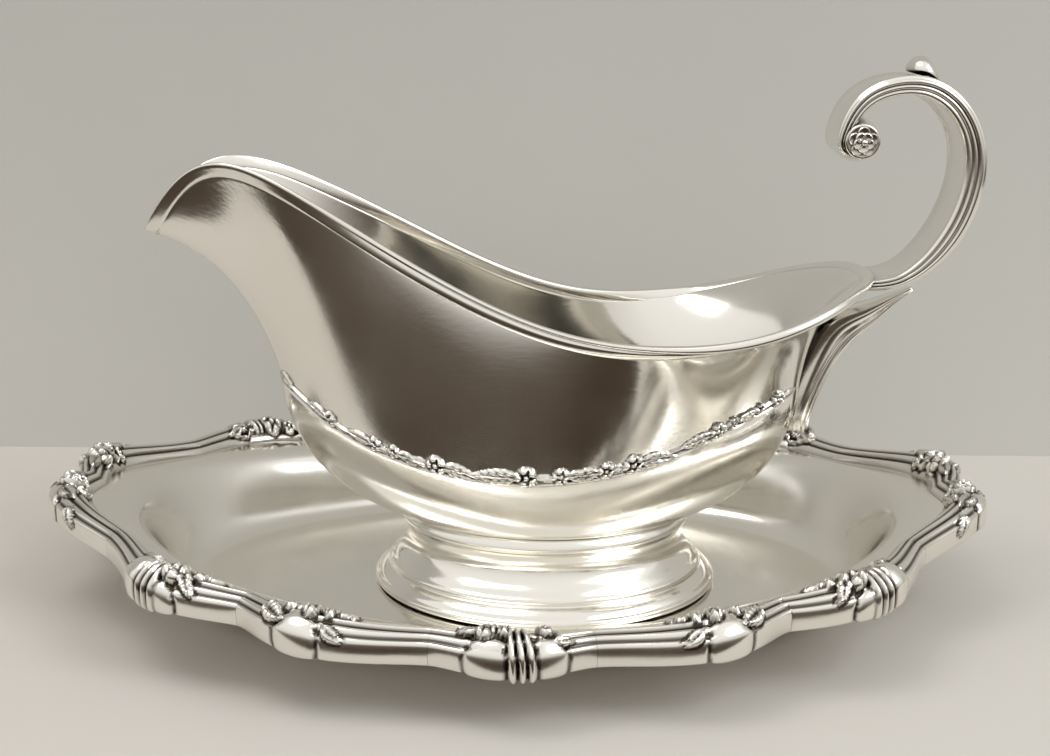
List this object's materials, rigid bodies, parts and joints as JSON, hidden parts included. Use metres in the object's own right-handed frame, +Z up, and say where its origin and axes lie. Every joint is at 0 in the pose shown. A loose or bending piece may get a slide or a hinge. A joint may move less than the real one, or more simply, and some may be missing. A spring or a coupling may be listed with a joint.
{
  "type": "gravy boat with underplate",
  "caption": "Footed silver gravy boat with a high pouring lip, an ornamental girdle and a C-scroll handle, standing loose on a lobed oval underplate with a cast border",
  "frame": {"origin": "on the table under the middle of the underplate", "axes": "+X along the set to the handle, +Y across it, +Z up"},
  "size_m": [0.2294, 0.1704, 0.1332],
  "materials": {
    "polished_silver": "polished silver plate with fine wear lines",
    "cast_silver": "cast and silver-plated ornament, dark in the recesses"
  },
  "bodies": {
    "underplate": {"plate_pan": "polished_silver", "border_casting_01": "cast_silver", "border_casting_02": "cast_silver", "border_casting_03": "cast_silver", "border_casting_04": "cast_silver", "border_casting_05": "cast_silver", "border_casting_06": "cast_silver", "border_casting_07": "cast_silver", "border_casting_08": "cast_silver", "border_casting_09": "cast_silver", "border_casting_10": "cast_silver", "border_casting_11": "cast_silver", "border_casting_12": "cast_silver", "border_casting_13": "cast_silver", "border_casting_14": "cast_silver"},
    "gravy_boat": {"bowl": "polished_silver", "foot": "polished_silver", "rim_wire": "polished_silver", "girdle_casting_near": "cast_silver", "girdle_casting_far": "cast_silver", "handle_strap": "polished_silver", "handle_tail": "polished_silver", "thumb_leaf": "cast_silver", "scroll_rosette_near": "cast_silver", "scroll_rosette_far": "cast_silver"}
  },
  "joints": [
    {"name": "boat_lift", "type": "slide", "parent": "underplate", "child": "gravy_boat", "axis": [0, 0, 1], "range_m": [0, 0.12]}
  ]
}
